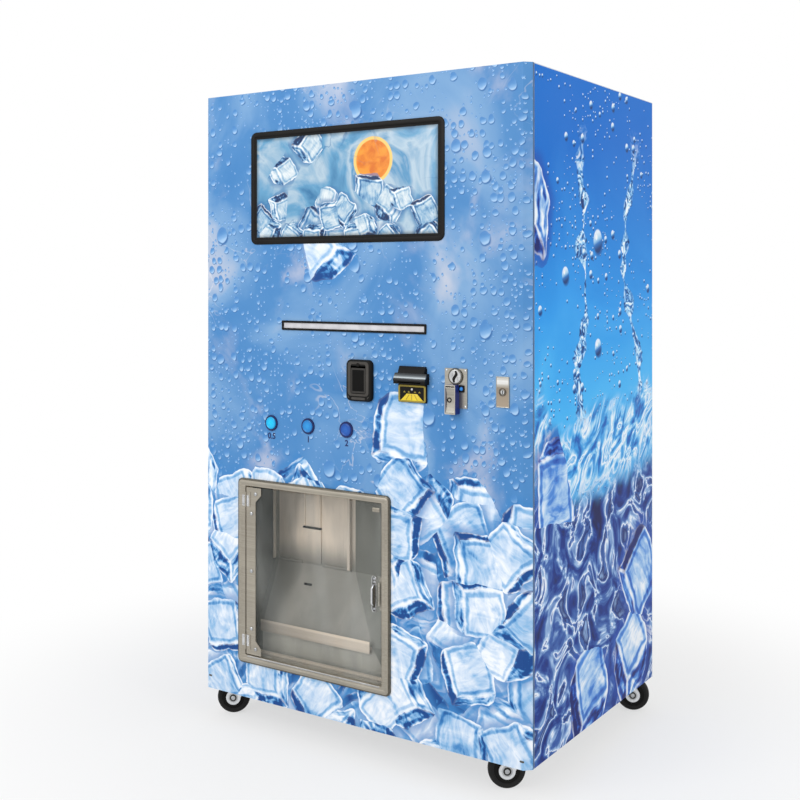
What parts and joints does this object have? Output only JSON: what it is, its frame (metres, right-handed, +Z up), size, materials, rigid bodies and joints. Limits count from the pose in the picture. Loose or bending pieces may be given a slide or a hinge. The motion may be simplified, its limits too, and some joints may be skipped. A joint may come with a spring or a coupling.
{
  "type": "ice vending machine",
  "caption": "Free-standing ice vending machine on casters: hinged service door with display, payment units, push buttons and a clear pick-up hatch over an ice maker and bin.",
  "frame": {"origin": "on the floor under the middle of the machine", "axes": "+X to the viewer's right, the front faces -Y, +Z up"},
  "size_m": [1.1224, 0.889, 1.89],
  "materials": {
    "cabinet_print": "printed vinyl film over painted sheet",
    "door_print": "printed vinyl film over painted sheet",
    "cabinet_paint": "powder coat",
    "stainless": "brushed",
    "bright_zinc": "bright zinc plate",
    "chrome": "polished",
    "caster_tyre": "moulded",
    "clear_sheet": "clear acrylic sheet",
    "black_gloss": "gloss",
    "black_plastic": "fine texture",
    "screen": "lit screen",
    "diffuser": "translucent white",
    "blue_plastic": "moulded",
    "navy_plastic": "moulded",
    "cyan_button": "translucent",
    "mid_blue_button": "translucent",
    "royal_blue_button": "translucent",
    "reject_blue": "lit",
    "aluminium": "mill finish",
    "compressor_black": "black enamel",
    "control_grey": "moulded",
    "copper": "drawn tube",
    "brass": "machined"
  },
  "bodies": {
    "cabinet": {"base_frame": "cabinet_paint", "floor_pan": "cabinet_paint", "left_side_panel": "cabinet_print", "right_side_panel": "cabinet_print", "top_panel": "cabinet_paint", "rear_panel": "cabinet_paint", "cabinet_hinge_leaves": "bright_zinc", "dispensing_liner": "stainless", "ice_chute": "stainless", "bag_rail": "stainless", "ice_bin": "stainless", "auger_gearmotor": "aluminium", "evaporator": "aluminium", "water_trough": "stainless", "water_pump": "black_plastic", "compressor": "compressor_black", "condenser": "aluminium", "fan_shroud": "black_plastic", "control_box": "control_grey", "refrigerant_lines": "copper", "water_inlet_valve": "brass", "drain_pipe": "control_grey", "mains_inlet": "black_plastic", "caster_plates": "bright_zinc"},
    "door": {"door_skin": "door_print", "door_stiffeners": "cabinet_paint", "door_hinge_leaves": "bright_zinc", "display_bezel": "black_gloss", "display_module": "screen", "light_bar_frame": "black_gloss", "light_bar_diffuser": "diffuser", "card_reader": "black_plastic", "bill_hood": "black_gloss", "bill_validator": "black_plastic", "coin_plate": "stainless", "coin_mechanism": "black_plastic", "coin_return_cup": "blue_plastic", "lock_plate": "stainless", "button_bezels": "navy_plastic", "hatch_frame": "stainless"},
    "hatch": {"hatch_glass": "clear_sheet", "hatch_stile": "stainless", "hatch_handle": "chrome"},
    "button_small": {"button_small": "cyan_button"},
    "button_medium": {"button_medium": "mid_blue_button"},
    "button_large": {"button_large": "royal_blue_button"},
    "coin_reject_button": {"coin_reject_button": "reject_blue"},
    "coin_return_flap": {"coin_return_flap": "stainless"},
    "lock": {"lock_cylinder": "chrome"},
    "chute_flap": {"chute_flap": "stainless"},
    "auger": {"auger": "stainless"},
    "condenser_fan": {"condenser_fan": "black_plastic"},
    "caster_front_left": {"caster_fork_front_left": "bright_zinc"},
    "wheel_front_left": {"caster_wheel_front_left": "caster_tyre"},
    "caster_front_right": {"caster_fork_front_right": "bright_zinc"},
    "wheel_front_right": {"caster_wheel_front_right": "caster_tyre"},
    "caster_rear_left": {"caster_fork_rear_left": "bright_zinc"},
    "wheel_rear_left": {"caster_wheel_rear_left": "caster_tyre"},
    "caster_rear_right": {"caster_fork_rear_right": "bright_zinc"},
    "wheel_rear_right": {"caster_wheel_rear_right": "caster_tyre"}
  },
  "joints": [
    {"name": "door_swing", "type": "hinge", "parent": "cabinet", "child": "door", "pos_m": [-0.556, -0.3945, 0.09], "axis": [0, 0, -1], "range_deg": [0, 110]},
    {"name": "hatch_swing", "type": "hinge", "parent": "door", "child": "hatch", "pos_m": [-0.388, -0.4304, 0.22], "axis": [0, 0, -1], "range_deg": [0, 110]},
    {"name": "button_small_press", "type": "slide", "parent": "door", "child": "button_small", "axis": [0, 1, 0], "range_m": [0, 0.004], "stiffness_N_per_m": 500, "springref_m": -0.002},
    {"name": "button_medium_press", "type": "slide", "parent": "door", "child": "button_medium", "axis": [0, 1, 0], "range_m": [0, 0.004], "stiffness_N_per_m": 500, "springref_m": -0.002},
    {"name": "button_large_press", "type": "slide", "parent": "door", "child": "button_large", "axis": [0, 1, 0], "range_m": [0, 0.004], "stiffness_N_per_m": 500, "springref_m": -0.002},
    {"name": "coin_reject_press", "type": "slide", "parent": "door", "child": "coin_reject_button", "axis": [0, 1, 0], "range_m": [0, 0.0025], "stiffness_N_per_m": 400, "springref_m": -0.002},
    {"name": "coin_return_swing", "type": "hinge", "parent": "door", "child": "coin_return_flap", "pos_m": [0.329, -0.442, 1.0525], "axis": [-1, 0, 0], "range_deg": [0, 70]},
    {"name": "lock_turn", "type": "hinge", "parent": "door", "child": "lock", "pos_m": [0.474, -0.4225, 1.0475], "axis": [0, -1, 0], "range_deg": [0, 90]},
    {"name": "chute_flap_swing", "type": "hinge", "parent": "cabinet", "child": "chute_flap", "pos_m": [-0.2, -0.306, 0.7325], "axis": [1, 0, 0], "range_deg": [0, 75]},
    {"name": "auger_spin", "type": "hinge", "parent": "cabinet", "child": "auger", "pos_m": [-0.2, -0.255, 0.9], "axis": [0, -1, 0], "continuous": true},
    {"name": "fan_spin", "type": "hinge", "parent": "cabinet", "child": "condenser_fan", "pos_m": [0.3, 0.308, 0.345], "axis": [0, 1, 0], "continuous": true},
    {"name": "caster_swivel_front_left", "type": "hinge", "parent": "cabinet", "child": "caster_front_left", "pos_m": [-0.476, -0.325, 0.1127], "axis": [0, 0, 1], "continuous": true},
    {"name": "wheel_spin_front_left", "type": "hinge", "parent": "caster_front_left", "child": "wheel_front_left", "pos_m": [-0.50765, -0.34603, 0.05], "axis": [0.5534, -0.8329, 0], "continuous": true},
    {"name": "caster_swivel_front_right", "type": "hinge", "parent": "cabinet", "child": "caster_front_right", "pos_m": [0.476, -0.325, 0.1127], "axis": [0, 0, 1], "continuous": true},
    {"name": "wheel_spin_front_right", "type": "hinge", "parent": "caster_front_right", "child": "wheel_front_right", "pos_m": [0.44435, -0.34603, 0.05], "axis": [0.5534, -0.8329, 0], "continuous": true},
    {"name": "caster_swivel_rear_left", "type": "hinge", "parent": "cabinet", "child": "caster_rear_left", "pos_m": [-0.476, 0.34, 0.1127], "axis": [0, 0, 1], "continuous": true},
    {"name": "wheel_spin_rear_left", "type": "hinge", "parent": "caster_rear_left", "child": "wheel_rear_left", "pos_m": [-0.44077, 0.35424, 0.05], "axis": [-0.3746, 0.9272, 0], "continuous": true},
    {"name": "caster_swivel_rear_right", "type": "hinge", "parent": "cabinet", "child": "caster_rear_right", "pos_m": [0.476, 0.34, 0.1127], "axis": [0, 0, 1], "continuous": true},
    {"name": "wheel_spin_rear_right", "type": "hinge", "parent": "caster_rear_right", "child": "wheel_rear_right", "pos_m": [0.51123, 0.35424, 0.05], "axis": [-0.3746, 0.9272, 0], "continuous": true}
  ]
}
